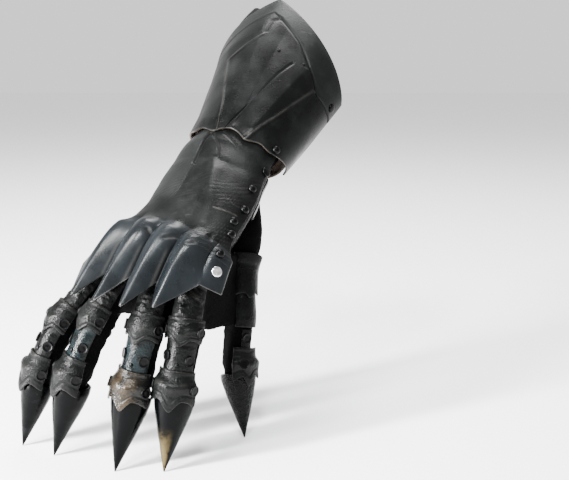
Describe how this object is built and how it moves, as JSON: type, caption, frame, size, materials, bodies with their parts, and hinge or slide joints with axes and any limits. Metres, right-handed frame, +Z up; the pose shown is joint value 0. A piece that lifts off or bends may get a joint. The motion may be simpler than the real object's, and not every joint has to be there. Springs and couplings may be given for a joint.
{
  "type": "studded leather gauntlet",
  "caption": "Right-hand black leather gauntlet with a flared fluted cuff, moulded knuckle plate, riveted finger lames and long pointed claws.",
  "frame": {"origin": "middle of the wrist inside the glove, where the wearer's arm holds the gauntlet", "axes": "+Z up with the five claw tips level below; +Y away from the viewer, towards the cuff; +X to the viewer's right, the thumb's side"},
  "size_m": [0.2196, 0.242, 0.2969],
  "materials": {
    "glove_leather": "matt soft leather",
    "plate_leather": "waxed hardened leather, satin",
    "lame_leather": "worn hardened leather, satin with brown and blue stains",
    "claw_leather": "polished hard leather with a metallic wash",
    "black_metal": "black lacquered rivet",
    "chrome_stud": "bright"
  },
  "bodies": {
    "root": {"cuff_inner": "plate_leather", "cuff_outer": "plate_leather", "cuff_stud_1": "black_metal", "cuff_stud_2": "black_metal", "cuff_stud_3": "black_metal", "cuff_stud_4": "black_metal", "glove_back": "glove_leather", "glove_index": "glove_leather", "glove_middle": "glove_leather", "glove_palm": "glove_leather", "glove_pinky": "glove_leather", "glove_ring": "glove_leather", "glove_thumb": "glove_leather", "glove_thumb_web": "glove_leather", "glove_wrist_back": "glove_leather", "glove_wrist_palm": "glove_leather", "hand_plate": "plate_leather", "hand_stud_1": "black_metal", "hand_stud_2": "black_metal", "hand_stud_3": "black_metal", "hand_stud_4": "black_metal", "hand_stud_5": "black_metal", "index_claw": "claw_leather", "index_knuckle_cap": "lame_leather", "index_middle_plate": "lame_leather", "index_proximal_plate": "lame_leather", "index_tip_cap": "lame_leather", "knuckle_stud": "chrome_stud", "middle_claw": "claw_leather", "middle_knuckle_cap": "lame_leather", "middle_middle_plate": "lame_leather", "middle_proximal_plate": "lame_leather", "middle_tip_cap": "lame_leather", "palm_side_lame": "lame_leather", "pinky_claw": "claw_leather", "pinky_knuckle_cap": "lame_leather", "pinky_middle_plate": "lame_leather", "pinky_proximal_plate": "lame_leather", "pinky_tip_cap": "lame_leather", "ring_claw": "claw_leather", "ring_knuckle_cap": "lame_leather", "ring_middle_plate": "lame_leather", "ring_proximal_plate": "lame_leather", "ring_tip_cap": "lame_leather", "thumb_claw": "claw_leather", "thumb_long_plate": "lame_leather", "thumb_root_plate": "lame_leather", "thumb_side_lame": "lame_leather", "thumb_strap": "lame_leather", "thumb_tip_cap": "lame_leather", "ulnar_side_lame": "lame_leather", "ulnar_stud_1": "black_metal", "ulnar_stud_2": "black_metal", "wrist_strap": "lame_leather", "wrist_stud": "black_metal"}
  },
  "joints": []
}
